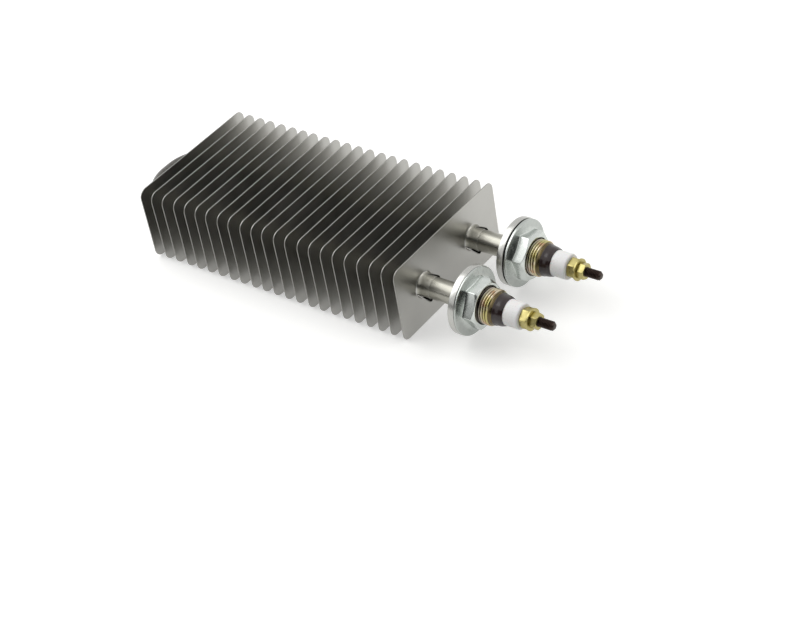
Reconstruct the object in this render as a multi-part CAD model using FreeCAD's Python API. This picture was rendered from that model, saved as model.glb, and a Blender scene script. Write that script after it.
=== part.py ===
import FreeCAD, Part
import math
import os

# A finned tubular heating element: a hairpin tube carries a stack of thin sheet fins, and each of
# its two ends leaves through a threaded sleeve with a flange nut, a seal, a ceramic and a stud.
# Lengths are in millimetres. X runs along the legs towards the terminals, Y across them, Z up.
# The origin is under the middle of the whole element, on the plane of the fins' lower edges.

V = FreeCAD.Vector
ALONG = V(1, 0, 0)

# Fins
fin_count = 23
fin_pitch = 7.85
fin_width = 90.0
fin_height = 45.0
fin_sheet = 0.5
fin_corner_radius = 5.0

# Drawn collars that grip the tube and space the fins
collar_sides = 12
collar_root_height = 0.9
collar_root_spread = 0.6
collar_slits = 2
collar_slit_width = 1.1
collar_slit_start = 2.0
collar_slit_turn = 45.0

# Hairpin tube, with a short straight run between the two bends at its back
tube_diameter = 12.0
tube_wall = 0.8
bend_radius = 20.0
back_straight = 4.5
back_stub = 1.0
front_stub = 27.5

# Inside the tube
coil_sides = 8
coil_diameter = 4.6
coil_socket_depth = 8.0
cold_pin_diameter = 3.0
cold_pin_inner_length = 62.0
seal_spigot_length = 6.0

# Threaded sleeve with its fixed disc
disc_diameter = 37.2
disc_thickness = 3.7
disc_edge = 0.5
sleeve_thread_diameter = 20.0
sleeve_pitch_diameter = 19.0
sleeve_thread_length = 16.2
sleeve_chamfer = 0.8

# Flange nut, whose flange stands a step inside the disc that it seats on.
# The left nut isn't quite home, so its gap is wider and the hexagon has stopped at another turn.
nut_gap_right = 0.05
nut_gap_left = 1.2
nut_turn_right = 2.0
nut_turn_left = 43.0
nut_flange_step = 0.1
nut_rim = 1.0
nut_skirt = 0.7
nut_skirt_top_diameter = 25.0
nut_height = 8.2
nut_across_flats = 24.0
nut_face_diameter = 23.0
nut_chamfer_angle = 30.0
nut_countersink = 0.9

# Seal, which narrows from the sleeve to the ceramic
seal_diameter = 17.8
seal_height = 5.5
seal_neck_height = 1.2
seal_neck_diameter = 16.7
seal_shoulder_height = 2.4
seal_shoulder_diameter = 16.0
seal_lip = 0.3

# Ceramic
ceramic_diameter = 14.0
ceramic_bore = 5.2
ceramic_length = 11.6
ceramic_seat_depth = 3.0
ceramic_edge = 0.8

# Terminal stud, nuts and washer
stud_diameter = 5.0
stud_pitch_diameter = 4.5
stud_reach = 8.8
stud_tip_chamfer = 0.9
inner_nut_across_flats = 10.0
inner_nut_height = 4.5
inner_nut_turn_right = 40.0
inner_nut_turn_left = 12.0
outer_nut_across_flats = 8.0
outer_nut_height = 4.0
outer_nut_turn_right = 5.0
outer_nut_turn_left = 35.0
washer_diameter = 12.0
washer_bore = 5.3
washer_thickness = 1.0
terminal_nut_chamfer = 30.0

# Clearances between pieces that meet
grip_gap = 0.02
thread_gap = 0.08
thread_runout = 0.3
collar_end_gap = 0.05

# How far a cutter reaches past the solid that it cuts
cutter_reach = 1.0

# The legs stand apart by what the bends and the straight run between them take
leg_spacing = 2 * bend_radius + back_straight

# Stations along X, first measured from the front face of the front fin
tube_radius = tube_diameter / 2
tube_inner_radius = tube_radius - tube_wall
stud_radius = stud_diameter / 2
shank_radius = stud_pitch_diameter / 2
collar_length = fin_pitch - fin_sheet - collar_end_gap
bend_start = -(fin_count - 1) * fin_pitch - fin_sheet - back_stub
back_reach = -bend_start + bend_radius + tube_radius
disc_back = front_stub
disc_front = disc_back + disc_thickness
sleeve_end = disc_front + sleeve_thread_length
nut_flange_diameter = disc_diameter - 2 * nut_flange_step
seal_front = sleeve_end + seal_height
ceramic_back = seal_front - ceramic_seat_depth
ceramic_front = ceramic_back + ceramic_length
inner_nut_front = ceramic_front + inner_nut_height
washer_front = inner_nut_front + washer_thickness
outer_nut_front = washer_front + outer_nut_height
stud_end = outer_nut_front + stud_reach
spigot_back = sleeve_end - seal_spigot_length
pin_end = sleeve_end - cold_pin_inner_length
coil_end = pin_end + coil_socket_depth

# The origin of the whole element
origin_x = (back_reach - stud_end) / 2
axis_height = fin_height / 2


def place(shape, y=0.0):
    """Move a shape from the front fin's own axis to its place in the element."""
    moved = shape.copy()
    moved.translate(V(origin_x, y, axis_height))
    return moved


def save(shape, node):
    """Write one sub-part as a STEP file, after checking that it is sound."""
    if not shape.isValid():
        raise ValueError(node + " is not a valid solid")
    shape.exportStep("parts/" + node + ".step")


def turned(profile):
    """Turn a closed (x, radius) profile about the X axis."""
    points = [V(x, r, 0) for x, r in profile]
    face = Part.Face(Part.makePolygon(points + points[:1]))
    return face.revolve(V(0, 0, 0), ALONG, 360)


def rod(radius, start, end):
    """A round bar along X."""
    return Part.makeCylinder(radius, end - start, V(start, 0, 0), ALONG)


def polygon_wire(sides, flat_radius, x, turn=0.0):
    """A regular polygon across X, given the distance from its centre to its flats."""
    corner_radius = flat_radius / math.cos(math.pi / sides)
    points = []
    for i in range(sides + 1):
        angle = math.radians(turn) + 2 * math.pi * i / sides
        points.append(V(x, corner_radius * math.cos(angle), corner_radius * math.sin(angle)))
    return Part.makePolygon(points)


def prism(sides, flat_radius, start, end, turn=0.0):
    """A regular prism along X."""
    face = Part.Face(polygon_wire(sides, flat_radius, start, turn))
    return face.extrude(V(end - start, 0, 0))


def edges_at(shape, x, radius):
    """The round edges of a shape that lie in the plane x with the given radius."""
    found = []
    for edge in shape.Edges:
        curve = edge.Curve
        if isinstance(curve, Part.Circle) and abs(curve.Radius - radius) < 1e-4:
            if abs(curve.Center.x - x) < 1e-4:
                found.append(edge)
    return found


# Fins

def make_collar(y):
    """One drawn collar: a faceted wall with a spread root, slit from its free end."""
    bore = tube_radius + grip_gap
    wall = bore + fin_sheet
    outside = prism(collar_sides, wall, -fin_sheet, collar_length)
    root = Part.makeLoft([polygon_wire(collar_sides, wall + collar_root_spread, 0),
                          polygon_wire(collar_sides, wall, collar_root_height)], True, True)
    solid = outside.fuse(root)
    slit_reach = 2 * wall
    for i in range(collar_slits):
        slit = Part.makeBox(collar_length, slit_reach, collar_slit_width)
        slit.translate(V(collar_slit_start, 0, -collar_slit_width / 2))
        slit.rotate(V(0, 0, 0), ALONG, collar_slit_turn + 360.0 * i / collar_slits)
        solid = solid.cut(slit)
    solid.translate(V(0, y, 0))
    return solid


def make_fin():
    """One fin: a rounded plate and its two collars, with the bores for the legs."""
    plate = Part.makeBox(fin_sheet, fin_width, fin_height, V(-fin_sheet, -fin_width / 2, -fin_height / 2))
    upright = [e for e in plate.Edges if abs(e.tangentAt(e.FirstParameter).x) > 0.9]
    fin = plate.makeFillet(fin_corner_radius, upright)
    legs = [leg_spacing / 2, -leg_spacing / 2]
    for y in legs:
        fin = fin.fuse(make_collar(y))
    for y in legs:
        bore = prism(collar_sides, tube_radius + grip_gap, -2 * fin_sheet, 2 * collar_length)
        bore.translate(V(0, y, 0))
        fin = fin.cut(bore)
    return fin.removeSplitter()


# The hairpin tube and what fills it

def round_section(outer_radius, inner_radius=0.0):
    """A disc, or a ring where inner_radius is not 0, about the X axis."""
    face = Part.Face(Part.Wire(Part.makeCircle(outer_radius, V(0, 0, 0), ALONG)))
    if inner_radius > 0:
        face = face.cut(Part.Face(Part.Wire(Part.makeCircle(inner_radius, V(0, 0, 0), ALONG))))
    return face


def coil_section(clearance=0.0):
    """The coil's envelope in section, as a polygon with its flats at the coil's radius."""
    turn = 180.0 / coil_sides
    return Part.Face(polygon_wire(coil_sides, coil_diameter / 2 + clearance, 0, turn))


def hairpin(section, front):
    """Carry a section about the X axis along the hairpin, from one front end to the other."""
    turn_centre = leg_spacing / 2 - bend_radius
    pieces = []
    for side in (1, -1):
        leg = section.copy()
        leg.translate(V(bend_start, side * leg_spacing / 2, 0))
        bend = leg.revolve(V(bend_start, side * turn_centre, 0), V(0, 0, side), 90)
        pieces += [leg.extrude(V(front - bend_start, 0, 0)), bend]
    if turn_centre > 0:
        back = section.copy()
        back.rotate(V(0, 0, 0), V(0, 0, 1), 90)
        back.translate(V(bend_start - bend_radius, -turn_centre, 0))
        pieces.append(back.extrude(V(0, 2 * turn_centre, 0)))
    return pieces[0].multiFuse(pieces[1:]).removeSplitter()


def make_sheath():
    """The sheath, one tube with both ends open inside the sleeves."""
    return hairpin(round_section(tube_radius, tube_inner_radius), sleeve_end)


def make_coil():
    """The outer envelope of the wound resistance wire, with a socket for each cold pin."""
    coil = hairpin(coil_section(), coil_end)
    for y in (leg_spacing / 2, -leg_spacing / 2):
        socket = rod(cold_pin_diameter / 2 + grip_gap, pin_end - grip_gap, coil_end + cutter_reach)
        socket.translate(V(0, y, 0))
        coil = coil.cut(socket)
    return coil


def make_filling():
    """The packed magnesia between the sheath, the coil and the cold pins."""
    filling = hairpin(round_section(tube_inner_radius - grip_gap), spigot_back - grip_gap)
    filling = filling.cut(hairpin(coil_section(grip_gap), coil_end + grip_gap))
    for y in (leg_spacing / 2, -leg_spacing / 2):
        hole = rod(cold_pin_diameter / 2 + grip_gap, coil_end, spigot_back + cutter_reach)
        hole.translate(V(0, y, 0))
        filling = filling.cut(hole)
    return filling


# Terminal end, made once on the X axis for both legs.
# A thread that a nut hides is as wide as its pitch diameter, and a free thread as its crests.

def make_sleeve(nut_gap):
    """The threaded sleeve, one piece with the disc that seats on the wall."""
    bore = tube_radius + grip_gap
    disc = disc_diameter / 2
    pitch = sleeve_pitch_diameter / 2
    thread = sleeve_thread_diameter / 2
    free_start = disc_front + nut_gap + nut_height + thread_runout
    return turned([
        (disc_back, bore), (disc_back, disc - disc_edge), (disc_back + disc_edge, disc),
        (disc_front - disc_edge, disc), (disc_front, disc - disc_edge), (disc_front, pitch),
        (free_start, pitch), (free_start, thread), (sleeve_end - sleeve_chamfer, thread),
        (sleeve_end, thread - sleeve_chamfer), (sleeve_end, bore)])


def make_flange_nut(nut_gap, turn):
    """A hexagon nut on a conical skirt with a thin rim, countersunk where the thread comes out."""
    nut_back = disc_front + nut_gap
    nut_front = nut_back + nut_height
    skirt = turned([
        (nut_back, 0), (nut_back, nut_flange_diameter / 2),
        (nut_back + nut_rim, nut_flange_diameter / 2),
        (nut_back + nut_rim + nut_skirt, nut_skirt_top_diameter / 2),
        (nut_back + nut_rim + nut_skirt, 0)])
    corner = nut_across_flats / 2 / math.cos(math.pi / 6)
    slope = math.tan(math.radians(nut_chamfer_angle))
    crown = turned([
        (nut_back, 0), (nut_back, corner),
        (nut_front - (corner - nut_face_diameter / 2) * slope, corner),
        (nut_front, nut_face_diameter / 2), (nut_front, 0)])
    hexagon = prism(6, nut_across_flats / 2, nut_back, nut_front, turn).common(crown)
    thread = sleeve_pitch_diameter / 2 + thread_gap
    bore = turned([
        (nut_back - cutter_reach, 0), (nut_back - cutter_reach, thread),
        (nut_front - nut_countersink, thread), (nut_front, thread + nut_countersink),
        (nut_front + cutter_reach, thread + nut_countersink), (nut_front + cutter_reach, 0)])
    return skirt.fuse(hexagon).cut(bore).removeSplitter()


def make_seal():
    """The sealing plug: a tapered collar outside the sleeve and a spigot inside the tube."""
    bore = shank_radius + grip_gap
    spigot = tube_inner_radius - grip_gap
    seat = ceramic_diameter / 2 + grip_gap
    base = sleeve_end + grip_gap
    neck = sleeve_end + seal_neck_height
    return turned([
        (spigot_back, bore), (spigot_back, spigot), (base, spigot), (base, seal_diameter / 2),
        (neck, seal_neck_diameter / 2), (neck + seal_shoulder_height, seal_shoulder_diameter / 2),
        (seal_front, seat + seal_lip), (seal_front, seat), (ceramic_back - grip_gap, seat),
        (ceramic_back - grip_gap, bore)])


def make_ceramic():
    """The ceramic insulator, a plain bush with a softened outer edge."""
    body = rod(ceramic_diameter / 2, ceramic_back, ceramic_front)
    body = body.makeChamfer(ceramic_edge, edges_at(body, ceramic_front, ceramic_diameter / 2))
    return body.cut(rod(ceramic_bore / 2, ceramic_back - cutter_reach, ceramic_front + cutter_reach))


def make_terminal_nut(across_flats, start, end, turn):
    """A plain hexagon nut with both faces chamfered."""
    flat = across_flats / 2
    corner = flat / math.cos(math.pi / 6)
    drop = (corner - flat) * math.tan(math.radians(terminal_nut_chamfer))
    crown = turned([
        (start, 0), (start, flat), (start + drop, corner), (end - drop, corner), (end, flat), (end, 0)])
    hexagon = prism(6, flat, start, end, turn).common(crown)
    return hexagon.cut(rod(shank_radius + thread_gap, start - cutter_reach, end + cutter_reach))


def make_washer():
    """A flat brass washer."""
    disc = rod(washer_diameter / 2, inner_nut_front, washer_front)
    return disc.cut(rod(washer_bore / 2, inner_nut_front - cutter_reach, washer_front + cutter_reach))


def make_cold_pin():
    """The cold pin: thin inside the tube, a shank through the seal and nuts, and a free stud."""
    free_start = outer_nut_front + thread_runout
    stud = rod(stud_radius, free_start, stud_end)
    stud = stud.makeChamfer(stud_tip_chamfer, edges_at(stud, stud_end, stud_radius))
    shank = rod(shank_radius, spigot_back - grip_gap, free_start)
    return stud.fuse([shank, rod(cold_pin_diameter / 2, pin_end, spigot_back)])


os.makedirs("parts", exist_ok=True)

fin = make_fin()
for index in range(fin_count):
    copy = fin.copy()
    copy.translate(V(-index * fin_pitch, 0, 0))
    save(place(copy), "fin_%02d" % (index + 1))

save(place(make_sheath()), "sheath_tube")
save(place(make_coil()), "resistance_coil")
save(place(make_filling()), "magnesia_filling")

ends = [("left", leg_spacing / 2, nut_gap_left, (nut_turn_left, inner_nut_turn_left, outer_nut_turn_left)),
        ("right", -leg_spacing / 2, nut_gap_right,
         (nut_turn_right, inner_nut_turn_right, outer_nut_turn_right))]
for side, y, nut_gap, turns in ends:
    save(place(make_sleeve(nut_gap), y), "threaded_sleeve_" + side)
    save(place(make_flange_nut(nut_gap, turns[0]), y), "flange_nut_" + side)
    save(place(make_seal(), y), "end_seal_" + side)
    save(place(make_ceramic(), y), "ceramic_insulator_" + side)
    save(place(make_cold_pin(), y), "cold_pin_" + side)
    inner_nut_back = ceramic_front + grip_gap
    inner_nut = make_terminal_nut(inner_nut_across_flats, inner_nut_back, inner_nut_front, turns[1])
    save(place(inner_nut, y), "inner_nut_" + side)
    save(place(make_washer(), y), "washer_" + side)
    outer_nut = make_terminal_nut(outer_nut_across_flats, washer_front, outer_nut_front, turns[2])
    save(place(outer_nut, y), "outer_nut_" + side)
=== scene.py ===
import math
import random
import bmesh
import bpy
from mathutils import Matrix, Vector


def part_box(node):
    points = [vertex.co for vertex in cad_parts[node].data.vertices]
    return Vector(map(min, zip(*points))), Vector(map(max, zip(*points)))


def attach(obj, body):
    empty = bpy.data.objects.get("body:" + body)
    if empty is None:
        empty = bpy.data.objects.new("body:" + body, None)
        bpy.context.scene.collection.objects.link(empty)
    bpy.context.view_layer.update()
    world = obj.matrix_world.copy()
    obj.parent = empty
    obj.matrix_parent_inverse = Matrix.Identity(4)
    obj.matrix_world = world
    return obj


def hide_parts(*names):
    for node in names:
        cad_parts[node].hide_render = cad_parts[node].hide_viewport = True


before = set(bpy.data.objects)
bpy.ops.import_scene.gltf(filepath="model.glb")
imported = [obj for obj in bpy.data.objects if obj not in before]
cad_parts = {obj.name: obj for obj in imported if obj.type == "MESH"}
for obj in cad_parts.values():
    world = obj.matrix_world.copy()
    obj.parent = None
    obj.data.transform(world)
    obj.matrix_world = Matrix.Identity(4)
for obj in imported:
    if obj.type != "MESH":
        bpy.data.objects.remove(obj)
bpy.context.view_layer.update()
mm = 0.001
mergeDistance = 1e-7  # metres


# Places read from the frame, in millimetres

def lowOf(node):
    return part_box(node)[0] / mm


def highOf(node):
    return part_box(node)[1] / mm


def middleOf(node):
    return (lowOf(node) + highOf(node)) / 2


def spanOf(node):  # where it starts and ends along X
    return lowOf(node).x, highOf(node).x


finNodes = sorted(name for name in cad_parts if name.startswith("fin_"))
sides = {"left": 1, "right": -1}  # the sign of Y on each leg
axisHeight = middleOf("sheath_tube").z  # height of both leg axes
legY = middleOf("cold_pin_left").y  # distance of a leg axis from the middle
print("frame read:", len(finNodes), "fins")


# Small tools for nodes, meshes and geometry trees

def patternScale(sizeInMm):  # the scale of a pattern whose features are that size
    return 1 / (sizeInMm * mm)


def hexColour(text):  # sRGB hex to the linear colour that the sockets take
    channels = [int(text[i:i + 2], 16) / 255 for i in (1, 3, 5)]
    return [c / 12.92 if c < 0.04045 else ((c + 0.055) / 1.055) ** 2.4 for c in channels] + [1]


def fillSockets(tree, node, inputs):  # with values, hex colours, sockets, or nodes for their first output
    for socket, value in inputs.items():
        if isinstance(value, bpy.types.Node):
            value = next(output for output in value.outputs if output.enabled)
        if isinstance(value, bpy.types.NodeSocket):
            tree.links.new(value, node.inputs[socket])
        else:
            node.inputs[socket].default_value = hexColour(value) if isinstance(value, str) else value


def addNode(tree, kind, inputs=None, **settings):  # one node, its settings, and its values or links by socket
    node = tree.nodes.new(kind)
    for name, value in settings.items():
        setattr(node, name, value)
    fillSockets(tree, node, inputs or {})
    return node


def finishPiece(piece, nodes, sharpAngle=32):
    mesh = piece.data
    mesh.shade_smooth()
    mesh.set_sharp_from_angle(angle=math.radians(sharpAngle))
    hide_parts(*nodes)
    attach(piece, "root")
    print("piece", piece.name, len(mesh.polygons), "faces")


def newPiece(name, mesh, material):
    piece = bpy.data.objects.new(name, mesh)
    bpy.context.scene.collection.objects.link(piece)
    mesh.materials.append(material)
    return piece


def startTree(name, sockets):  # a geometry tree with named inputs for its sizes
    tree = bpy.data.node_groups.new(name, "GeometryNodeTree")
    tree.interface.new_socket("Geometry", in_out="INPUT", socket_type="NodeSocketGeometry")
    for label, kind in sockets.items():
        tree.interface.new_socket(label, in_out="INPUT", socket_type="NodeSocket" + kind)
    tree.interface.new_socket("Geometry", in_out="OUTPUT", socket_type="NodeSocketGeometry")
    return tree, tree.nodes.new("NodeGroupInput").outputs


def endTree(tree, geometry, material):  # every tree ends in plain geometry with its material
    real = addNode(tree, "GeometryNodeRealizeInstances", {"Geometry": geometry})
    dressed = addNode(tree, "GeometryNodeSetMaterial", {"Geometry": real, "Material": material})
    addNode(tree, "NodeGroupOutput", {"Geometry": dressed})


def applyModifiers(piece):  # what the modifiers give becomes the piece's plain mesh
    bpy.context.view_layer.update()
    graph = bpy.context.evaluated_depsgraph_get()
    mesh = bpy.data.meshes.new_from_object(piece.evaluated_get(graph), preserve_all_data_layers=True,
                                           depsgraph=graph)
    piece.modifiers.clear()
    piece.data = mesh


def runTree(piece, tree, values):
    modifier = piece.modifiers.new(tree.name, "NODES")
    modifier.node_group = tree
    for socket in tree.interface.items_tree:
        if socket.in_out == "INPUT" and socket.name in values:
            modifier[socket.identifier] = values[socket.name]
    applyModifiers(piece)


def cleanShell(shell):  # merges its doubled points and turns its faces outwards
    bmesh.ops.remove_doubles(shell, verts=shell.verts, dist=mergeDistance)
    bmesh.ops.recalc_face_normals(shell, faces=shell.faces)


def faceOutwards(mesh):
    shell = bmesh.new()
    shell.from_mesh(mesh)
    cleanShell(shell)
    shell.to_mesh(mesh)
    shell.free()


mostOfEdge = 0.48  # under half, so that the curves at an edge's two ends stay apart


def softCorners(corners, steps=3):  # (x, radius, softness) corners to points, a soft corner as a short curve
    points = []
    for i, (x, r, softness) in enumerate(corners):
        here = Vector((x, r))
        if softness == 0:
            points.append(here)
            continue
        before = Vector(corners[i - 1][:2]) - here
        after = Vector(corners[(i + 1) % len(corners)][:2]) - here
        start = here + before.normalized() * min(softness, before.length * mostOfEdge)
        end = here + after.normalized() * min(softness, after.length * mostOfEdge)
        for step in range(steps + 1):
            t = step / steps
            points.append(start * (1 - t) ** 2 + here * 2 * t * (1 - t) + end * t * t)
    return points


def turnedMesh(name, profileAt, angles, y):  # a closed profile, which may vary with the angle, turned about a leg
    shell = bmesh.new()
    rings = []
    for angle in angles:
        c, s = math.cos(angle), math.sin(angle)
        points = [Vector((x, y + r * c, axisHeight + r * s)) * mm for x, r in profileAt(angle)]
        rings.append([shell.verts.new(point) for point in points])
    for ring, following in zip(rings, rings[1:] + rings[:1]):
        for j in range(len(ring)):
            shell.faces.new((ring[j - 1], ring[j], following[j], following[j - 1]))
    cleanShell(shell)
    mesh = bpy.data.meshes.new(name)
    shell.to_mesh(mesh)
    shell.free()
    return mesh


def roundPiece(name, node, side, corners, around, material, steps=3):  # a turned piece with one profile all round
    profile = softCorners(corners, steps)
    angles = [2 * math.pi * i / around for i in range(around)]
    mesh = turnedMesh(node, lambda angle: profile, angles, sides[side] * legY)
    return newPiece(name + "." + side, mesh, material)


halfSector = math.radians(30)  # from a hexagon's corner to the middle of its flat


def cornerOf(flat, soft):  # how far out a rounded corner has its centre, and the angle to the round's end
    centre = (flat - soft) / math.cos(halfSector)
    return centre, math.atan2(soft * 0.5, centre + soft * math.cos(halfSector))


def hexagonRadius(angle, flat, turn, soft):  # distance from the axis to a hexagon with rounded corners
    away = math.radians((math.degrees(angle) - turn + 30) % 60 - 30)  # from the nearest corner
    centre, roundEnd = cornerOf(flat, soft)
    if abs(away) < roundEnd:
        return centre * math.cos(away) + math.sqrt(soft ** 2 - (centre * math.sin(away)) ** 2)
    return flat / math.cos(halfSector - abs(away))


def hexagonAngles(flat, turn, soft, flatSteps=9):  # angles that fall on the corners' round ends
    roundEnd = math.degrees(cornerOf(flat, soft)[1])
    span = 60 - 2 * roundEnd
    inSector = [-roundEnd, -roundEnd / 2, 0, roundEnd / 2]
    inSector += [roundEnd + span * i / flatSteps for i in range(flatSteps)]
    return [math.radians(turn + 60 * corner + part) for corner in range(6) for part in inSector]


# Materials. Sizes are in mm, rough is the roughness at a pattern's low and high end, bump a strength and a depth

noiseSpan = (0.3, 0.7)  # most of a noise lies between these


def startMaterial(name, **constants):  # a Principled material, with the values that are the same all over
    material = bpy.data.materials.new(name)
    material.use_nodes = True
    tree = material.node_tree
    shader = tree.nodes["Principled BSDF"]
    fillSockets(tree, shader, {socket.replace("_", " "): value for socket, value in constants.items()})
    return material, tree, shader, tree.nodes.new("ShaderNodeTexCoord").outputs["Object"]


def mottle(tree, place, look, size, detail):  # blotches as large as look[size], and the colour that they mix
    scale = patternScale(look[size])
    blotch = addNode(tree, "ShaderNodeTexNoise", {"Vector": place, "Scale": scale, "Detail": detail})
    return blotch, addNode(tree, "ShaderNodeMix", {0: blotch, 6: look["dark"], 7: look["light"]}, data_type="RGBA")


# Streaks from rolling or drawing, sized along X, Y and Z, and wider than the real ones so that they show
def longLines(tree, place, look, detail):
    scale = [patternScale(size) for size in look["lines"]]
    stretched = addNode(tree, "ShaderNodeMapping", {"Vector": place, "Scale": scale})
    return addNode(tree, "ShaderNodeTexNoise", {"Vector": stretched, "Scale": 1, "Detail": detail})


def ringCoordinate(tree, place):  # how far along the nearer leg axis and how far from it, as a lathe sees it
    axes = addNode(tree, "ShaderNodeSeparateXYZ", {"Vector": place}).outputs
    across = addNode(tree, "ShaderNodeMath", {0: axes["Y"]}, operation="ABSOLUTE")
    offset = addNode(tree, "ShaderNodeMath", {0: across, 1: legY * mm}, operation="SUBTRACT")
    up = addNode(tree, "ShaderNodeMath", {0: axes["Z"], 1: axisHeight * mm}, operation="SUBTRACT")
    flat = addNode(tree, "ShaderNodeCombineXYZ", {"X": offset, "Y": up})
    return axes["X"], addNode(tree, "ShaderNodeVectorMath", {0: flat}, operation="LENGTH")


def turnedMarks(tree, place, feed):  # rings as far apart as the tool's feed, a coarse one so that they show
    along, ring = ringCoordinate(tree, place)
    both = addNode(tree, "ShaderNodeMath", {0: along, 1: ring}, operation="ADD")
    scaled = addNode(tree, "ShaderNodeMath", {0: both, 1: patternScale(feed)}, operation="MULTIPLY")
    marks = addNode(tree, "ShaderNodeTexNoise", {"W": scaled, "Scale": 1, "Detail": 2}, noise_dimensions="1D")
    return marks, along, ring


def dressShader(tree, shader, look, colour, rough=None, bump=None):  # rough and bump are the patterns to follow
    inputs = {"Base Color": colour}
    if rough is not None:
        low, high = look.get("span", noiseSpan)
        inputs["Roughness"] = addNode(tree, "ShaderNodeMapRange", {
            "Value": rough, 1: low, 2: high, 3: look["rough"][0], 4: look["rough"][1]})
    if bump is not None:
        strength, depth = look["bump"]
        inputs["Normal"] = addNode(tree, "ShaderNodeBump", {
            "Height": bump, "Strength": strength, "Distance": depth * mm})
    fillSockets(tree, shader, inputs)
    return inputs


def makeFinSteel():  # cold-rolled stainless sheet: a soft, slightly cloudy mirror with faint rolling lines
    look = {"light": "#bdbcb8", "dark": "#abaaa6", "cloud": 16, "rough": (0.29, 0.35), "span": (0.35, 0.65),
            "lines": (30, 30, 0.6), "lineBump": (0.02, 0.01), "waviness": 26, "bump": (0.1, 0.4)}
    material, tree, shader, place = startMaterial("stainlessSheet", Metallic=1)
    cloud, colour = mottle(tree, place, look, "cloud", 2)
    wave = addNode(tree, "ShaderNodeTexNoise", {
        "Vector": place, "Scale": patternScale(look["waviness"]), "Detail": 1})
    strength, depth = look["lineBump"]
    fine = addNode(tree, "ShaderNodeBump", {
        "Height": longLines(tree, place, look, 2), "Strength": strength, "Distance": depth * mm})
    broad = dressShader(tree, shader, look, colour, cloud, wave)["Normal"]
    fillSockets(tree, broad, {"Normal": fine})
    return material


def makeShearedSteel():  # the sheet's cut edges: duller than its faces, torn into short lines by the punch
    look = {"light": "#a6a5a1", "dark": "#81807c", "tear": 0.4, "rough": (0.34, 0.48)}
    material, tree, shader, place = startMaterial("shearedEdge", Metallic=1)
    tear, colour = mottle(tree, place, look, "tear", 3)
    dressShader(tree, shader, look, colour, tear)
    return material


def makeCollarShadeSteel():  # the collars' inner side, a near black painted shade, which makes the slits dark
    look = {"light": "#2a2722", "dark": "#12110f", "shadeBlotch": 1.5}
    material, tree, shader, place = startMaterial("collarInsidePaintedShade", Metallic=0.6, Roughness=0.6)
    dressShader(tree, shader, look, mottle(tree, place, look, "shadeBlotch", 3)[1])
    return material


def makeTubeSteel():  # drawn stainless tube: shinier and warmer than the fins, finely lined, dark where bent hot
    look = {"light": "#aeada4", "dark": "#929087", "cloud": 9, "annealed": "#5c5a56",
            "annealedFrom": (30, 22),  # mm in front of the bend's far end, where the dark begins and is full
            "lines": (30, 0.5, 0.5), "rough": (0.25, 0.36), "bump": (0.25, 0.03)}
    material, tree, shader, place = startMaterial("annealedStainless", Metallic=1)
    grain = longLines(tree, place, look, 4)
    colour = mottle(tree, place, look, "cloud", 5)[1]
    along = addNode(tree, "ShaderNodeSeparateXYZ", {"Vector": place}).outputs["X"]
    start, full = [(lowOf("sheath_tube").x + reach) * mm for reach in look["annealedFrom"]]
    heated = addNode(tree, "ShaderNodeMapRange", {"Value": along, 1: start, 2: full})
    metal = addNode(tree, "ShaderNodeMix", {0: heated, 6: colour, 7: look["annealed"]}, data_type="RGBA")
    dressShader(tree, shader, look, metal, grain, grain)
    return material


def makeSleeveSteel():  # turned stainless, straw to olive where heat tinted it, with painted shade in its thread's grooves and in the right nut's mouth
    look = {"beige": "#cfc3ac", "straw": "#b8b078", "orange": "#bd9b7b", "bare": "#b6b6b2", "grooveShade": "#61563d",
            "mouthShade": "#332c25", "feed": 0.35, "cloud": 7, "patch": 4, "rough": (0.2, 0.34), "bump": (0.3, 0.02),
            "strawSpan": (0.42, 0.55), "orangeSpan": (0.5, 0.62),  # parts of the cloud's and the patch's noise
            "tintFrom": (-2, 3),  # mm in front of the left nut, where the tint begins and is full
            "grooveShadeRadius": (9.45, 9.0), "mouthShadeFrom": 0.5, "mouthShadeFade": 1.3, "mouthShadeShare": 0.9}
    material, tree, shader, place = startMaterial("turnedStainless", Metallic=1)
    marks, along, ring = turnedMarks(tree, place, look["feed"])
    cloud, patch = [
        addNode(tree, "ShaderNodeTexNoise", {"Vector": place, "Scale": patternScale(look[size]), "Detail": detail})
        for size, detail in (("cloud", 4), ("patch", 2))]
    tintStart, tintFull = [(highOf("flange_nut_left").x + reach) * mm for reach in look["tintFrom"]]
    discSide, nutFront = spanOf("flange_nut_right")
    mouth = (nutFront + look["mouthShadeFrom"]) * mm
    # painted shade: past the disc, the thread darkens from its crest down to its root
    crest, root = [radius * mm for radius in look["grooveShadeRadius"]]
    straw, orange, bare, depth = [
        addNode(tree, "ShaderNodeMapRange", {"Value": value, 1: start, 2: full})
        for value, (start, full) in ((cloud, look["strawSpan"]), (patch, look["orangeSpan"]),
                                     (along, (tintFull, tintStart)), (ring, (crest, root)))]
    # painted shade, darkest just in front of the right nut's mouth and fading along the thread
    nearMouth = addNode(tree, "ShaderNodeMapRange", {
        "Value": along, 1: mouth, 2: mouth + look["mouthShadeFade"] * mm, 3: look["mouthShadeShare"], 4: 0})
    pastDisc = addNode(tree, "ShaderNodeMath", {0: along, 1: discSide * mm}, operation="GREATER_THAN")
    grooveShade, mouthShade = [addNode(tree, "ShaderNodeMath", {0: pastDisc, 1: share}, operation="MULTIPLY")
                   for share in (depth, nearMouth)]
    colour = look["beige"]
    for share, coat in ((straw, "straw"), (orange, "orange"), (bare, "bare"), (grooveShade, "grooveShade"), (mouthShade, "mouthShade")):
        colour = addNode(tree, "ShaderNodeMix", {0: share, 6: colour, 7: look[coat]}, data_type="RGBA")
    dressShader(tree, shader, look, colour, marks, marks)
    return material


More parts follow.
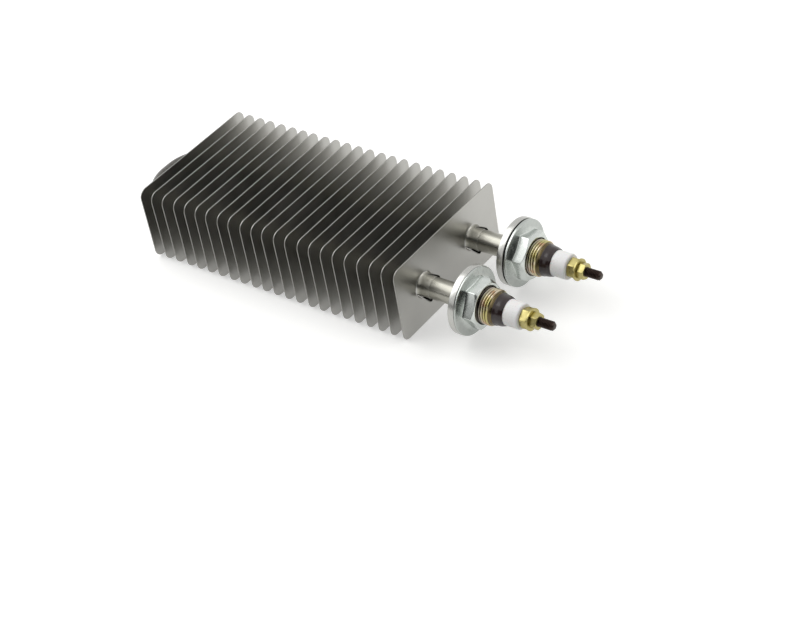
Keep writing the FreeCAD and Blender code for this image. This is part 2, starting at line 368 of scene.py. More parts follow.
def makeZinc():  # bright zinc plate: bluish white and cloudy, greyed out on the flange by a painted dark reflection, with a slight orange peel
    look = {"light": "#d8dcd8", "dark": "#bbc0bc", "cloud": 3.5, "flange": "#8b8f8b", "flangeShadeRadius": (13, 15),
            "flangeShadeShare": 0.45, "peel": 0.9, "rough": (0.29, 0.18), "bump": (0.15, 0.05)}
    material, tree, shader, place = startMaterial("brightZinc", Metallic=1)
    cloud, colour = mottle(tree, place, look, "cloud", 5)
    peel = addNode(tree, "ShaderNodeTexNoise", {"Vector": place, "Scale": patternScale(look["peel"]), "Detail": 2})
    # painted dark reflection, greying the flange from near the hexagon out to the rim
    start, full = [radius * mm for radius in look["flangeShadeRadius"]]
    skirtShade = addNode(tree, "ShaderNodeMapRange", {
        "Value": ringCoordinate(tree, place)[1], 1: start, 2: full, 3: 0, 4: look["flangeShadeShare"]})
    plateAndShade = addNode(tree, "ShaderNodeMix", {0: skirtShade, 6: colour, 7: look["flange"]}, data_type="RGBA")
    dressShader(tree, shader, look, plateAndShade, cloud, peel)
    return material


def makeLacquer():  # sealing lacquer: dark purple brown and glossy, with slow waves from brushing
    look = {"light": "#2c1a19", "dark": "#140a0a", "cloud": 4, "wave": 2.2, "bump": (0.25, 0.15)}
    material, tree, shader, place = startMaterial(
        "sealingLacquer", Roughness=0.4, Specular_IOR_Level=0.25, Coat_Weight=0.6, Coat_Roughness=0.12)
    wave = addNode(tree, "ShaderNodeTexNoise", {"Vector": place, "Scale": patternScale(look["wave"]), "Detail": 2})
    dressed = dressShader(tree, shader, look, mottle(tree, place, look, "cloud", 4)[1], bump=wave)
    fillSockets(tree, shader, {"Coat Normal": dressed["Normal"]})
    return material


def makeSteatite():  # fired steatite: chalky white with a low sheen and faint grey specks
    look = {"body": "#f4f3f2", "speck": "#dad7d4", "grain": 0.5, "speckSpan": (0.58, 0.75),
            "pit": 0.25,  # real pits are finer, and these are as coarse as they need to be to show
            "rough": (0.4, 0.55), "bump": (0.2, 0.03), "scatter": 0.8}
    material, tree, shader, place = startMaterial(
        "steatite", Subsurface_Weight=0.08, Subsurface_Scale=look["scatter"] * mm)
    grain, pits = [
        addNode(tree, "ShaderNodeTexNoise", {"Vector": place, "Scale": patternScale(look[size]), "Detail": detail})
        for size, detail in (("grain", 3), ("pit", 2))]
    start, full = look["speckSpan"]
    fleck = addNode(tree, "ShaderNodeMapRange", {"Value": grain, 1: start, 2: full})
    colour = addNode(tree, "ShaderNodeMix", {0: fleck, 6: look["body"], 7: look["speck"]}, data_type="RGBA")
    dressShader(tree, shader, look, colour, grain, pits)
    return material


def makeBrass():  # turned brass: pale yellow and bright, a little duller in cloudy patches
    look = {"light": "#b9af79", "dark": "#a0955c", "cloud": 2.5, "feed": 0.22, "rough": (0.4, 0.26),
            "bump": (0.25, 0.02)}
    material, tree, shader, place = startMaterial("turnedBrass", Metallic=1)
    cloud, colour = mottle(tree, place, look, "cloud", 4)
    dressShader(tree, shader, look, colour, cloud, turnedMarks(tree, place, look["feed"])[0])
    return material


def makeDarkSteel():  # blackened steel stud: a brown black oxide, worn to bare metal at the tip
    look = {"light": "#43352f", "dark": "#2a2321", "cloud": 1.2, "worn": "#5a5450",
            "wornFrom": (-1.1, -0.1),  # mm from the tip, where the wear begins and is full
            "rough": (0.3, 0.5), "bump": (0.3, 0.03)}
    material, tree, shader, place = startMaterial("blackenedSteel", Metallic=1)
    cloud, oxide = mottle(tree, place, look, "cloud", 5)
    along = addNode(tree, "ShaderNodeSeparateXYZ", {"Vector": place}).outputs["X"]
    start, full = [(highOf("cold_pin_left").x + reach) * mm for reach in look["wornFrom"]]
    tip = addNode(tree, "ShaderNodeMapRange", {"Value": along, 1: start, 2: full})
    wear = addNode(tree, "ShaderNodeMath", {0: tip, 1: cloud}, operation="MULTIPLY")
    colour = addNode(tree, "ShaderNodeMix", {0: wear, 6: oxide, 7: look["worn"]}, data_type="RGBA")
    dressShader(tree, shader, look, colour, cloud, cloud)
    return material


def makeNichrome():  # nichrome wire: grey green oxide over bright metal
    look = {"light": "#8d8a82", "dark": "#5c5a50", "cloud": 0.8}
    material, tree, shader, place = startMaterial("nichromeWire", Metallic=1, Roughness=0.38)
    dressShader(tree, shader, look, mottle(tree, place, look, "cloud", 4)[1])
    return material


def makeMagnesia():  # compacted magnesia powder: matt, slightly cream, with a fine crumb
    look = {"light": "#ece7dc", "dark": "#d2ccbe", "crumb": 0.4, "bump": (0.5, 0.1)}
    material, tree, shader, place = startMaterial("pressedMagnesia", Roughness=0.9)
    crumb, colour = mottle(tree, place, look, "crumb", 5)
    dressShader(tree, shader, look, colour, bump=crumb)
    return material


finSteel = makeFinSteel()
shearedSteel = makeShearedSteel()
collarShadeSteel = makeCollarShadeSteel()
tubeSteel = makeTubeSteel()
sleeveSteel = makeSleeveSteel()
zinc = makeZinc()
lacquer = makeLacquer()
steatite = makeSteatite()
brass = makeBrass()
darkSteel = makeDarkSteel()
nichrome = makeNichrome()
magnesia = makeMagnesia()
print("materials made")


# Fins: one drawn fin in sheet metal, then the whole stack

finPlate = {"sheet": 0.5, "inset": 0.05, "cornerRadius": 5, "cornerSteps": 8, "edgeBevel": 0.07}
finCollar = {"bore": 6.07, "length": 7.1, "rootHeight": 3.3, "rootSpread": 1.25, "rootSteps": 8, "apron": 0.5,
             "wallSteps": 5, "wallEnd": 0.2, "around": 56, "innerRadius": 6.02, "ragged": 0.2, "seed": 5}
# A slit starts at turn and leans by skew, in degrees, from startRow of the profile to the free end. Its lips
# spring out by lift, in mm, early where curl is low. At its start each side closes by wedge, a share of a cell
finSlits = [{"turn": 83, "skew": -23, "startRow": 7, "lift": (0.9, 0), "curl": 0.5, "wedge": 0.32},
            {"turn": 191, "skew": 32, "startRow": 3, "lift": (-0.1, 1.25), "curl": 0.38, "wedge": 0.05}]
slitReach = 60  # degrees round the collar over which its wall follows a slit
finStackLook = {"tilt": 0.45, "shift": 0.1, "seed": 11}
finZones = {"edgeRadius": 12, "edgeFacing": 0.9, "collarRadius": 9, "inside": 0.4, "burnished": -0.8}


def collarProfile():  # outer face of the collar as (x from the plate's front, radius), from the plate outwards
    wall = finCollar["bore"] + finPlate["sheet"]
    height, spread = finCollar["rootHeight"], finCollar["rootSpread"]
    points = [(0, wall + spread + finCollar["apron"])]
    for i in range(finCollar["rootSteps"] + 1):
        turn = math.pi / 2 * i / finCollar["rootSteps"]
        points.append((height - height * math.cos(turn), wall + spread - spread * math.sin(turn)))
    straight = finCollar["length"] - height
    for i in range(1, finCollar["wallSteps"] + 1):  # the wall thins towards its free end
        share = i / finCollar["wallSteps"]
        points.append((height + straight * share, wall - finCollar["wallEnd"] * share))
    return points


def addCollar(sheet, y, chance):  # one collar about the leg at y, slit from its free end, returns its outer ring
    profile = collarProfile()
    around = finCollar["around"]
    cellWidth = 360 / around
    cells = [round(slit["turn"] / cellWidth - 0.5) for slit in finSlits]  # a slit is a cell left without faces
    rings = []
    for i in range(around):
        ragged = chance.uniform(-finCollar["ragged"], 0)
        ring = []
        for x, r in profile:
            turn = i * cellWidth
            for slit, cell in zip(finSlits, cells):
                start = profile[slit["startRow"]][0]
                free = max(0, (x - start) / (finCollar["length"] - start))
                away = (i - cell - 0.5) * cellWidth
                bump = math.cos(math.pi / 2 * min(1, abs(away) / slitReach)) ** 2
                turn += free * slit["skew"] * bump
                r += free ** slit["curl"] * slit["lift"][away > 0] * bump
                if i - cell in (0, 1):  # the slit opens like a wedge
                    turn -= math.copysign(slit["wedge"] * cellWidth * (1 - free), away)
            x += ragged if x == profile[-1][0] else 0
            angle = math.radians(turn)
            ring.append(sheet.verts.new((x * mm, (y + r * math.cos(angle)) * mm, r * math.sin(angle) * mm)))
        rings.append(ring)
    for i in range(around):
        near, far = rings[i], rings[(i + 1) % around]
        for j in range(len(profile) - 1):
            if any(i == cell and j >= slit["startRow"] for slit, cell in zip(finSlits, cells)):
                continue
            sheet.faces.new((near[j], near[j + 1], far[j + 1], far[j]))
    return [ring[0] for ring in rings]


def makeFinMesh():
    sheet = bmesh.new()
    chance = random.Random(finCollar["seed"])
    size = highOf("fin_01") - lowOf("fin_01")
    halfWidth, halfHeight = size.y / 2 - finPlate["inset"], size.z / 2 - finPlate["inset"]
    corner, steps = finPlate["cornerRadius"], finPlate["cornerSteps"]
    outline = []
    for quarter, (sy, sz) in enumerate(((1, 1), (-1, 1), (-1, -1), (1, -1))):
        for i in range(steps + 1):
            turn = math.pi / 2 * (quarter + i / steps)
            y = sy * (halfWidth - corner) + corner * math.cos(turn)
            z = sz * (halfHeight - corner) + corner * math.sin(turn)
            outline.append(sheet.verts.new((0, y * mm, z * mm)))
    loops = [outline] + [addCollar(sheet, side * legY, chance) for side in sides.values()]
    edges = []
    for loop in loops:
        for a, b in zip(loop, loop[1:] + loop[:1]):
            edges.append(sheet.edges.get((a, b)) or sheet.edges.new((a, b)))
    bmesh.ops.triangle_fill(sheet, use_beauty=True, edges=edges)
    bmesh.ops.recalc_face_normals(sheet, faces=sheet.faces)
    front = max(sheet.faces, key=lambda face: abs(face.normal.x) * face.calc_area())
    if front.normal.x < 0:
        bmesh.ops.reverse_faces(sheet, faces=sheet.faces)
    mesh = bpy.data.meshes.new("fin")
    sheet.to_mesh(mesh)
    sheet.free()
    return mesh


def fitBore(mesh):  # keeps the collars' inner side off the tube where the wall is thin
    for vertex in mesh.vertices:
        for side in sides.values():
            across, up = vertex.co.y / mm - side * legY, vertex.co.z / mm
            ring = math.hypot(across, up)
            if ring < finCollar["innerRadius"]:
                grow = finCollar["innerRadius"] / ring
                vertex.co.y, vertex.co.z = (side * legY + across * grow) * mm, up * grow * mm


def dressSheet(mesh):  # cut edges, the inner sides of the collars in painted shade and their burnished walls get their own steel
    for material in (shearedSteel, collarShadeSteel, tubeSteel):
        mesh.materials.append(material)
    cutEdge, shadedCollarInside, collarWall = 1, 2, 3  # their slots
    for face in mesh.polygons:
        across, up = abs(face.center.y / mm) - legY, face.center.z / mm - axisHeight
        ring = math.hypot(across, up)
        inward = -(face.normal.y * math.copysign(1, face.center.y) * across + face.normal.z * up) / ring
        if ring > finZones["edgeRadius"] and abs(face.normal.x) < finZones["edgeFacing"]:
            face.material_index = cutEdge
        # the collars' inner side takes the near black painted shade
        elif ring < finZones["collarRadius"] and inward > finZones["inside"]:
            face.material_index = shadedCollarInside
        elif ring < finZones["collarRadius"] and inward < finZones["burnished"]:
            face.material_index = collarWall


def makeStackTree():  # repeats a fin along X, each one turned and shifted a little by chance
    tree, given = startTree("finStackTree", {
        "Start": "Vector", "Pitch": "Float", "Count": "Int", "Tilt": "Float", "Shift": "Float", "Seed": "Int",
        "Material": "Material"})
    step = addNode(tree, "ShaderNodeCombineXYZ", {"X": given["Pitch"]})
    line = addNode(tree, "GeometryNodeMeshLine", {
        "Count": given["Count"], "Start Location": given["Start"], "Offset": step})
    lowTilt, lowShift = [addNode(tree, "ShaderNodeMath", {0: given[most], 1: -1.0}, operation="MULTIPLY")
                         for most in ("Tilt", "Shift")]
    lowTurn, highTurn = [addNode(tree, "ShaderNodeCombineXYZ", {"Y": tilt, "Z": tilt})
                         for tilt in (lowTilt, given["Tilt"])]
    turn = addNode(tree, "FunctionNodeRandomValue", {0: lowTurn, 1: highTurn, "Seed": given["Seed"]},
                   data_type="FLOAT_VECTOR")
    fins = addNode(tree, "GeometryNodeInstanceOnPoints", {
        "Points": line, "Instance": given["Geometry"], "Rotation": turn})
    slide = addNode(tree, "FunctionNodeRandomValue", {2: lowShift, 3: given["Shift"], "Seed": given["Seed"]})
    offset = addNode(tree, "ShaderNodeCombineXYZ", {"X": slide})
    moved = addNode(tree, "GeometryNodeTranslateInstances", {"Instances": fins, "Translation": offset})
    endTree(tree, moved, given["Material"])
    return tree


def makeFinStack():
    stack = newPiece("finStack", makeFinMesh(), finSteel)
    thickness = stack.modifiers.new("sheet", "SOLIDIFY")
    thickness.thickness = finPlate["sheet"] * mm
    thickness.offset = -1
    thickness.use_even_offset = True
    edge = stack.modifiers.new("edge", "BEVEL")
    edge.width = finPlate["edgeBevel"] * mm
    edge.segments = 1
    edge.limit_method = "ANGLE"
    edge.angle_limit = math.radians(60)
    applyModifiers(stack)
    fitBore(stack.data)
    frontFace = lowOf("fin_01").x + finPlate["sheet"]
    pitch = lowOf("fin_01").x - lowOf("fin_02").x
    runTree(stack, makeStackTree(), {
        "Start": Vector((frontFace, 0, axisHeight)) * mm, "Pitch": -pitch * mm, "Count": len(finNodes),
        "Tilt": math.radians(finStackLook["tilt"]), "Shift": finStackLook["shift"] * mm,
        "Seed": finStackLook["seed"], "Material": finSteel})
    dressSheet(stack.data)
    finishPiece(stack, finNodes)


makeFinStack()


# Hairpin tube and the wire coil inside it, both along the same path

hairpin = {"bendRadius": 20, "bendSteps": 24, "sides": 48, "wall": 0.8}
wireCoil = {"diameter": 4.5, "wire": 0.45, "pitch": 1.25, "stepsPerTurn": 10, "sides": 5}
tubeRadius = (highOf("sheath_tube").z - lowOf("sheath_tube").z) / 2


def pathMesh(name, front):  # four corners of the hairpin's centre line, which a tree rounds
    back = lowOf("sheath_tube").x + tubeRadius
    corners = [(front, legY), (back, legY), (back, -legY), (front, -legY)]
    mesh = bpy.data.meshes.new(name)
    mesh.from_pydata([Vector((x, y, axisHeight)) * mm for x, y in corners], [(0, 1), (1, 2), (2, 3)], [])
    return mesh


def startPipeTree(name, sockets):  # the centre line with its bend rounded, and the round section to lay along it
    tree, given = startTree(name, {
        "Bend Radius": "Float", "Bend Steps": "Int", "Section Radius": "Float", "Sides": "Int", **sockets,
        "Material": "Material"})
    path = addNode(tree, "GeometryNodeMeshToCurve", {"Mesh": given["Geometry"]})
    bent = addNode(tree, "GeometryNodeFilletCurve", {
        "Curve": path, "Count": given["Bend Steps"], "Radius": given["Bend Radius"]}, mode="POLY")
    section = addNode(tree, "GeometryNodeCurvePrimitiveCircle", {
        "Resolution": given["Sides"], "Radius": given["Section Radius"]})
    return tree, given, bent, section


def makeTubeTree():
    tree, given, bent, section = startPipeTree("tubeTree", {})
    tube = addNode(tree, "GeometryNodeCurveToMesh", {"Curve": bent, "Profile Curve": section})
    endTree(tree, tube, given["Material"])
    return tree


def makeWireTree():  # a helix wound round the hairpin's centre line
    tree, given, bent, section = startPipeTree("wireTree", {
        "Coil Radius": "Float", "Pitch": "Float", "Steps Per Turn": "Int"})
    stride = addNode(tree, "ShaderNodeMath", {0: given["Pitch"], 1: given["Steps Per Turn"]}, operation="DIVIDE")
    fine = addNode(tree, "GeometryNodeResampleCurve", {"Curve": bent, "Length": stride}, mode="LENGTH")
    index = addNode(tree, "GeometryNodeInputIndex")
    share = addNode(tree, "ShaderNodeMath", {0: index, 1: given["Steps Per Turn"]}, operation="DIVIDE")
    angle = addNode(tree, "ShaderNodeMath", {0: share, 1: 2 * math.pi}, operation="MULTIPLY")
    upward, sideward = [addNode(tree, "ShaderNodeMath", {0: angle}, operation=wave) for wave in ("SINE", "COSINE")]
    tangent = addNode(tree, "GeometryNodeInputTangent")
    across = addNode(tree, "ShaderNodeVectorMath", {0: tangent, 1: (0, 0, 1)}, operation="CROSS_PRODUCT")
    sidePart = addNode(tree, "ShaderNodeVectorMath", {0: across, "Scale": sideward}, operation="SCALE")
    upPart = addNode(tree, "ShaderNodeCombineXYZ", {"Z": upward})
    circle = addNode(tree, "ShaderNodeVectorMath", {0: sidePart, 1: upPart}, operation="ADD")
    offset = addNode(tree, "ShaderNodeVectorMath", {0: circle, "Scale": given["Coil Radius"]}, operation="SCALE")
    helix = addNode(tree, "GeometryNodeSetPosition", {"Geometry": fine, "Offset": offset})
    wire = addNode(tree, "GeometryNodeCurveToMesh", {"Curve": helix, "Profile Curve": section, "Fill Caps": True})
    endTree(tree, wire, given["Material"])
    return tree


def makeTube():
    tube = newPiece("sheathTube", pathMesh("sheathPath", highOf("sheath_tube").x), tubeSteel)
    runTree(tube, makeTubeTree(), {
        "Bend Radius": hairpin["bendRadius"] * mm, "Bend Steps": hairpin["bendSteps"],
        "Section Radius": tubeRadius * mm, "Sides": hairpin["sides"], "Material": tubeSteel})
    faceOutwards(tube.data)
    wall = tube.modifiers.new("wall", "SOLIDIFY")
    wall.thickness = hairpin["wall"] * mm
    wall.offset = -1
    applyModifiers(tube)
    finishPiece(tube, ["sheath_tube"])


def makeWireCoil():
    coil = newPiece("resistanceWire", pathMesh("wirePath", highOf("resistance_coil").x), nichrome)
    runTree(coil, makeWireTree(), {
        "Bend Radius": hairpin["bendRadius"] * mm, "Bend Steps": hairpin["bendSteps"],
        "Section Radius": wireCoil["wire"] / 2 * mm, "Sides": wireCoil["sides"],
        "Coil Radius": (wireCoil["diameter"] - wireCoil["wire"]) / 2 * mm, "Pitch": wireCoil["pitch"] * mm,
        "Steps Per Turn": wireCoil["stepsPerTurn"], "Material": nichrome})
    faceOutwards(coil.data)
    finishPiece(coil, ["resistance_coil"], sharpAngle=60)


makeTube()
makeWireCoil()
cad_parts["magnesia_filling"].data.materials.clear()
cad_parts["magnesia_filling"].data.materials.append(magnesia)


# Threads, a ridge wound round a turned core

threadRidge = {"footShare": 0.94, "runIn": 4, "runOut": 0.25, "leastHeight": 0.08}  # runIn in mm, runOut in turns


def makeThreadTree():
    tree, given = startTree("threadTree", {
        "Start": "Vector", "Root Radius": "Float", "Depth": "Float", "Pitch": "Float", "Turns": "Float",
        "Crest Share": "Float", "Steps Per Turn": "Int", "Material": "Material"})
    length, crest, foot = [
        addNode(tree, "ShaderNodeMath", {0: given["Pitch"], 1: share}, operation="MULTIPLY")
        for share in (given["Turns"], given["Crest Share"], threadRidge["footShare"])]
    helix = addNode(tree, "GeometryNodeCurveSpiral", {
        "Resolution": given["Steps Per Turn"], "Rotations": given["Turns"], "Start Radius": given["Root Radius"],
        "End Radius": given["Root Radius"], "Height": length})
    upright = addNode(tree, "GeometryNodeSetCurveNormal", {"Curve": helix}, mode="Z_UP")
    section = addNode(tree, "GeometryNodeCurvePrimitiveQuadrilateral", {
        "Height": given["Depth"], "Bottom Width": foot, "Top Width": crest, "Offset": 0.0}, mode="TRAPEZOID")
    half = addNode(tree, "ShaderNodeMath", {0: given["Depth"], 1: 0.5}, operation="MULTIPLY")
    lift = addNode(tree, "ShaderNodeCombineXYZ", {"Y": half})
    raised = addNode(tree, "GeometryNodeTransform", {"Geometry": section, "Translation": lift})
    turned = addNode(tree, "GeometryNodeTransform", {"Geometry": raised, "Rotation": (0, 0, math.pi / 2)})
    place = addNode(tree, "GeometryNodeSplineParameter").outputs
    runIn, runOut, leastHeight = threadRidge["runIn"] * mm, threadRidge["runOut"], threadRidge["leastHeight"]
    fromStart = addNode(tree, "ShaderNodeMath", {0: place["Length"], 1: runIn}, operation="DIVIDE")
    shareLeft = addNode(tree, "ShaderNodeMath", {0: 1.0, 1: place["Factor"]}, operation="SUBTRACT")
    turnsLeft = addNode(tree, "ShaderNodeMath", {0: shareLeft, 1: given["Turns"]}, operation="MULTIPLY")
    fromEnd = addNode(tree, "ShaderNodeMath", {0: turnsLeft, 1: 1 / runOut}, operation="MULTIPLY")
    nearer = addNode(tree, "ShaderNodeMath", {0: fromStart, 1: fromEnd}, operation="MINIMUM")
    fade = addNode(tree, "ShaderNodeMapRange", {"Value": nearer, 1: 0.0, 2: 1.0, 3: leastHeight, 4: 1.0})
    ridge = addNode(tree, "GeometryNodeCurveToMesh", {
        "Curve": upright, "Profile Curve": turned, "Scale": fade, "Fill Caps": True})
    laid = addNode(tree, "GeometryNodeTransform", {"Geometry": ridge, "Rotation": (0, math.pi / 2, 0)})
    placed = addNode(tree, "GeometryNodeTransform", {"Geometry": laid, "Translation": given["Start"]})
    joined = addNode(tree, "GeometryNodeJoinGeometry", {"Geometry": given["Geometry"]})
    fillSockets(tree, joined, {"Geometry": placed})
    endTree(tree, joined, given["Material"])
    return tree


threadTree = makeThreadTree()


def cutThread(piece, side, thread, start, end, material):
    turns = (end - start) / thread["pitch"] - 1
    runTree(piece, threadTree, {
        "Start": Vector((start + thread["pitch"] / 2, sides[side] * legY, axisHeight)) * mm,
        "Root Radius": thread["root"] * mm, "Depth": (thread["crest"] - thread["root"]) * mm,
        "Pitch": thread["pitch"] * mm, "Turns": turns, "Crest Share": thread["crestShare"],
        "Steps Per Turn": thread["steps"], "Material": material})


# Terminal ends, the same on both legs apart from how far the nuts are turned. Chamfers are along and inwards

sleeve = {"bore": 6.02, "edge": 0.5, "discDiameter": 37.2, "discThickness": 3.7, "chamfer": (1.2, 0.3),
          "threadInset": (0.4, 0.7), "around": 96}
sleeveThread = {"root": 8.95, "crest": 9.75, "pitch": 1.5, "crestShare": 0.16, "steps": 64}
flangeNut = {"flat": 12.0, "faceRadius": 11.5, "chamferAngle": 30, "leastChamfer": 0.12, "cornerSoftness": 0.6,
             "bore": 10.0, "mouth": 10.5, "mouthSlope": 1.2, "rim": 1.0, "rimRadius": 18.45, "rimTop": 0.5,
             "skirtHeight": 0.95, "skirtHollow": 2.1, "skirtSteps": 8, "turn": {"left": 43, "right": 2},
             "backing": {"left": 0.4, "right": 0}}
endSeal = {"bore": 2.3, "spigotRadius": 5.15, "radius": 8.75, "neck": (1.2, 8.35), "shoulder": (3.6, 8.05),
           "lip": 0.35, "sleeveGap": 0.05, "ceramicGap": 0.02, "around": 72}
insulator = {"radius": 7.0, "edge": 1.1, "bore": 2.6, "around": 64}
brassNut = {"bore": 2.52, "faceShare": 0.97, "chamferAngle": 30, "leastChamfer": 0.08}
innerNut = {"flat": 5.0, "cornerSoftness": 0.35, "turn": {"left": 12, "right": 40}}
outerNut = {"flat": 4.0, "cornerSoftness": 0.3, "turn": {"left": 35, "right": 5}}
flatWasher = {"radius": 6.0, "bore": 2.65, "edge": 0.18, "around": 64}
stud = {"pinRadius": 1.5, "chamfer": (0.9, 0.5), "threadInset": 0.45, "around": 40}
studThread = {"root": 2.05, "crest": 2.49, "pitch": 0.8, "crestShare": 0.14, "steps": 32}


def makeSleeve(side):
    node = "threaded_sleeve_" + side
    back, end = spanOf(node)
    discFront = back + sleeve["discThickness"]
    disc, bore, soft = sleeve["discDiameter"] / 2, sleeve["bore"], sleeve["edge"]
    root, (length, drop), (atDisc, atEnd) = sleeveThread["root"], sleeve["chamfer"], sleeve["threadInset"]
    corners = [(back, bore, 0), (back, disc, soft), (discFront, disc, soft), (discFront, root, 0.15),
               (end - length, root, 0.3), (end, root - drop, 0.1), (end, bore, 0)]
    piece = roundPiece("threadedSleeve", node, side, corners, sleeve["around"], sleeveSteel)
    cutThread(piece, side, sleeveThread, discFront + atDisc, end - atEnd, sleeveSteel)
    finishPiece(piece, [node])


def skirtHeight(radius):  # the nut's flange rises as a hollow curve from its rim to the hexagon
    share = (flangeNut["rimRadius"] - radius) / (flangeNut["rimRadius"] - flangeNut["flat"])
    return flangeNut["skirtHeight"] * share ** flangeNut["skirtHollow"]


def makeFlangeNut(side):
    node = "flange_nut_" + side
    back, front = spanOf(node)
    flat, soft, turn = flangeNut["flat"], flangeNut["cornerSoftness"], flangeNut["turn"][side]
    slope = math.tan(math.radians(flangeNut["chamferAngle"]))
    rimFront = back + flangeNut["rim"]
    back -= flangeNut["backing"][side]
    rim, bore, mouth, face = [flangeNut[name] for name in ("rimRadius", "bore", "mouth", "faceRadius")]
    skirtFoot, steps = rim - flangeNut["rimTop"], flangeNut["skirtSteps"]

    def profileAt(angle):
        wide = hexagonRadius(angle, flat, turn, soft)
        corners = [(back, bore, 0.2), (back, rim, 0.35), (rimFront, rim, 0.35)]
        for i in range(1, steps):
            radius = skirtFoot - (skirtFoot - wide) * i / steps
            corners.append((rimFront + skirtHeight(radius), radius, 0))
        corners.append((rimFront + skirtHeight(wide), wide, 0.25))
        chamferStart = front - max(flangeNut["leastChamfer"], (wide - face) * slope)
        corners += [(chamferStart, wide, 0.12), (front, face, 0.2), (front, mouth, 0.1),
                    (front - (mouth - bore) * flangeNut["mouthSlope"], bore, 0.1)]
        return softCorners(corners)

    mesh = turnedMesh(node, profileAt, hexagonAngles(flat, turn, soft), sides[side] * legY)
    finishPiece(newPiece("flangeNut." + side, mesh, zinc), [node], sharpAngle=24)


def makeSeal(side):
    node = "end_seal_" + side
    back, front = spanOf(node)
    base = highOf("threaded_sleeve_" + side).x + endSeal["sleeveGap"]
    seat = insulator["radius"] + endSeal["ceramicGap"]
    ceramicBack = lowOf("ceramic_insulator_" + side).x - endSeal["ceramicGap"]
    bore, spigot = endSeal["bore"], endSeal["spigotRadius"]
    corners = [(back, bore, 0), (back, spigot, 0.2), (base, spigot, 0), (base, endSeal["radius"], 0.25)]
    corners += [(base + along, radius, 0.7) for along, radius in (endSeal["neck"], endSeal["shoulder"])]
    corners += [(front, seat + endSeal["lip"], 0.3), (front, seat, 0.1), (ceramicBack, seat, 0),
                (ceramicBack, bore, 0)]
    finishPiece(roundPiece("endSeal", node, side, corners, endSeal["around"], lacquer, steps=4), [node])


def makeInsulator(side):
    node = "ceramic_insulator_" + side
    back, front = spanOf(node)
    radius, bore = insulator["radius"], insulator["bore"]
    corners = [(back, bore, 0.2), (back, radius, 0.3), (front, radius, insulator["edge"]), (front, bore, 0.3)]
    piece = roundPiece("ceramicInsulator", node, side, corners, insulator["around"], steatite, steps=5)
    finishPiece(piece, [node], sharpAngle=40)


def makeBrassNut(kind, nut, side):
    node = kind + "_nut_" + side
    back, front = spanOf(node)
    flat, soft, turn, bore = nut["flat"], nut["cornerSoftness"], nut["turn"][side], brassNut["bore"]
    slope = math.tan(math.radians(brassNut["chamferAngle"]))

    def profileAt(angle):
        wide = hexagonRadius(angle, flat, turn, soft)
        face = flat * brassNut["faceShare"]
        drop = max(brassNut["leastChamfer"], (wide - face) * slope)
        return softCorners([(back, bore, 0.15), (back, face, 0.1), (back + drop, wide, 0.1),
                            (front - drop, wide, 0.1), (front, face, 0.1), (front, bore, 0.25)])

    mesh = turnedMesh(node, profileAt, hexagonAngles(flat, turn, soft, flatSteps=6), sides[side] * legY)
    finishPiece(newPiece(kind + "Nut." + side, mesh, brass), [node], sharpAngle=24)


def makeWasher(side):
    node = "washer_" + side
    back, front = spanOf(node)
    radius, bore, soft = flatWasher["radius"], flatWasher["bore"], flatWasher["edge"]
    corners = [(back, bore, soft), (back, radius, soft), (front, radius, soft), (front, bore, soft)]
    finishPiece(roundPiece("washer", node, side, corners, flatWasher["around"], brass), [node])


def makeStud(side):
    node = "cold_pin_" + side
    back, tip = spanOf(node)
    shankStart = lowOf("end_seal_" + side).x
    pin, root, (length, drop) = stud["pinRadius"], studThread["root"], stud["chamfer"]
    corners = [(back, 0, 0), (back, pin, 0.2), (shankStart, pin, 0), (shankStart, root, 0),
               (tip - length, root, 0.3), (tip, root - drop, 0.35), (tip, 0, 0)]
    piece = roundPiece("coldPin", node, side, corners, stud["around"], darkSteel)
    cutThread(piece, side, studThread, lowOf("inner_nut_" + side).x, tip - stud["threadInset"], darkSteel)
    finishPiece(piece, [node])


for side in sides:
    makeSleeve(side)
    makeFlangeNut(side)
    makeSeal(side)
    makeInsulator(side)
    makeBrassNut("inner", innerNut, side)
    makeWasher(side)
    makeBrassNut("outer", outerNut, side)
    makeStud(side)
print("terminal ends made")


# Studio: a pale floor, a white world, two boards and soft boxes. Sizes in metres, angles from +X towards +Y

studio = {"floorSize": 6, "floor": "#e4e4e2", "floorLift": 0.42, "ambient": 0.55}
softBoxes = {"keyBox": {"azimuth": -163, "elevation": 52, "distance": 1.6, "size": (1.6, 1.6), "power": 15.7},
             "fillBox": {"azimuth": 30, "elevation": 50, "distance": 1.4, "size": (0.8, 0.5), "power": 2.5}}
boards = {"dark": {"radius": 0.9, "start": -95, "end": 5, "height": 0.65, "paint": "#2b2b2b"},
          "grey": {"radius": 0.9, "start": -150, "end": -95, "height": 0.2, "paint": "#8a8a8a"}}
boardSteps = 16


def backgroundRays(tree):  # 1 for the rays that see the white background, directly, in metal or through glass
    rays = addNode(tree, "ShaderNodeLightPath").outputs
    seen = addNode(tree, "ShaderNodeMath", {0: rays["Is Camera Ray"], 1: rays["Is Glossy Ray"]}, operation="ADD")
    return addNode(tree, "ShaderNodeMath", {0: seen, 1: rays["Is Transmission Ray"]}, operation="ADD",
                   use_clamp=True)


def makeFloor():
    half = studio["floorSize"] / 2
    mesh = bpy.data.meshes.new("floor")
    mesh.from_pydata([(-half, -half, 0), (half, -half, 0), (half, half, 0), (-half, half, 0)], [], [(0, 1, 2, 3)])
    material, tree, shader = startMaterial(
        "paperFloor", Base_Color=studio["floor"], Roughness=0.9, Specular_IOR_Level=0.1)[:3]
    lift = addNode(tree, "ShaderNodeMath", {0: backgroundRays(tree), 1: studio["floorLift"]}, operation="MULTIPLY")
    glow = addNode(tree, "ShaderNodeEmission", {"Color": "#ffffff", "Strength": lift})
    both = addNode(tree, "ShaderNodeAddShader", {0: shader, 1: glow})
    fillSockets(tree, tree.nodes["Material Output"], {"Surface": both})
    newPiece("floor", mesh, material)


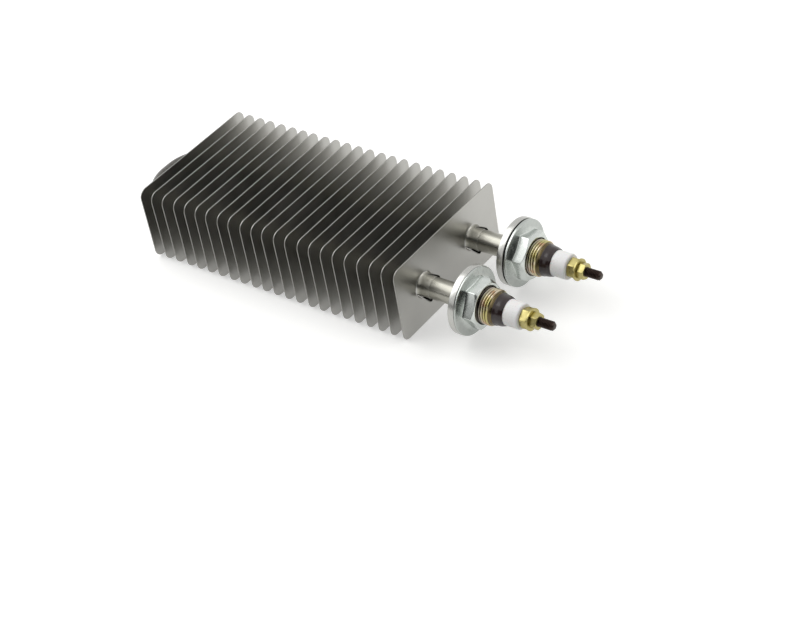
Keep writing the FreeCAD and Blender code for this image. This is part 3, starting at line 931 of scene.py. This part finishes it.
def makeWorld():
    world = bpy.data.worlds.new("studio")
    world.use_nodes = True
    tree = world.node_tree
    soft = tree.nodes["Background"]
    fillSockets(tree, soft, {"Color": "#ffffff", "Strength": studio["ambient"]})
    white = addNode(tree, "ShaderNodeBackground", {"Color": "#ffffff", "Strength": 1.0})
    mix = addNode(tree, "ShaderNodeMixShader", {0: backgroundRays(tree), 1: soft, 2: white})
    fillSockets(tree, tree.nodes["World Output"], {"Surface": mix})
    bpy.context.scene.world = world


def makeSoftBox(name, box):  # aimed at the middle
    light = bpy.data.lights.new(name, "AREA")
    light.shape = "RECTANGLE"
    light.size, light.size_y = box["size"]
    light.energy = box["power"]
    lamp = bpy.data.objects.new(name, light)
    a, e = math.radians(box["azimuth"]), math.radians(box["elevation"])
    away = Vector((math.cos(a) * math.cos(e), math.sin(a) * math.cos(e), math.sin(e)))
    lamp.location = away * box["distance"]
    lamp.rotation_mode = "QUATERNION"
    lamp.rotation_quaternion = away.to_track_quat("Z", "Y")
    bpy.context.scene.collection.objects.link(lamp)


def makeBoard(name, board):  # a curved board which the camera doesn't see, for the dark lines in bright metal
    mesh = bpy.data.meshes.new(name)
    points, radius = [], board["radius"]
    for i in range(boardSteps + 1):
        a = math.radians(board["start"] + (board["end"] - board["start"]) * i / boardSteps)
        points += [(radius * math.cos(a), radius * math.sin(a), z) for z in (0.0, board["height"])]
    quads = [(2 * i, 2 * i + 1, 2 * i + 3, 2 * i + 2) for i in range(boardSteps)]
    mesh.from_pydata(points, [], quads)
    material = startMaterial(name + "Board", Base_Color=board["paint"], Roughness=0.9, Specular_IOR_Level=0.1)[0]
    piece = newPiece(name + "Flag", mesh, material)
    piece.visible_camera = False


makeFloor()
makeWorld()
for name, board in boards.items():
    makeBoard(name, board)
for name, box in softBoxes.items():
    makeSoftBox(name, box)


# Camera, fitted to the edges of the fins. Target and distance in mm, azimuth from -Y towards +X

view = {"lens": 90.8, "sensor": 36, "distance": 1050.5, "target": (46.5, -30.1, 5.6), "azimuth": 42.3,
        "elevation": 37.81, "roll": -10.6, "clip": (0.05, 20)}


def makeCamera():
    camera = bpy.data.objects.new("camera", bpy.data.cameras.new("camera"))
    camera.data.lens = view["lens"]
    camera.data.sensor_width = view["sensor"]
    camera.data.clip_start, camera.data.clip_end = view["clip"]
    a, e = math.radians(view["azimuth"]), math.radians(view["elevation"])
    back = Vector((math.sin(a) * math.cos(e), -math.cos(a) * math.cos(e), math.sin(e)))
    camera.rotation_mode = "QUATERNION"
    roll = Matrix.Rotation(math.radians(view["roll"]), 3, back).to_quaternion()
    camera.rotation_quaternion = roll @ (-back).to_track_quat("-Z", "Y")
    camera.location = (Vector(view["target"]) + back * view["distance"]) * mm
    bpy.context.scene.collection.objects.link(camera)
    bpy.context.scene.camera = camera


makeCamera()
bpy.context.scene.view_settings.view_transform = "Standard"
print("studio and camera made")

bpy.context.view_layer.update()
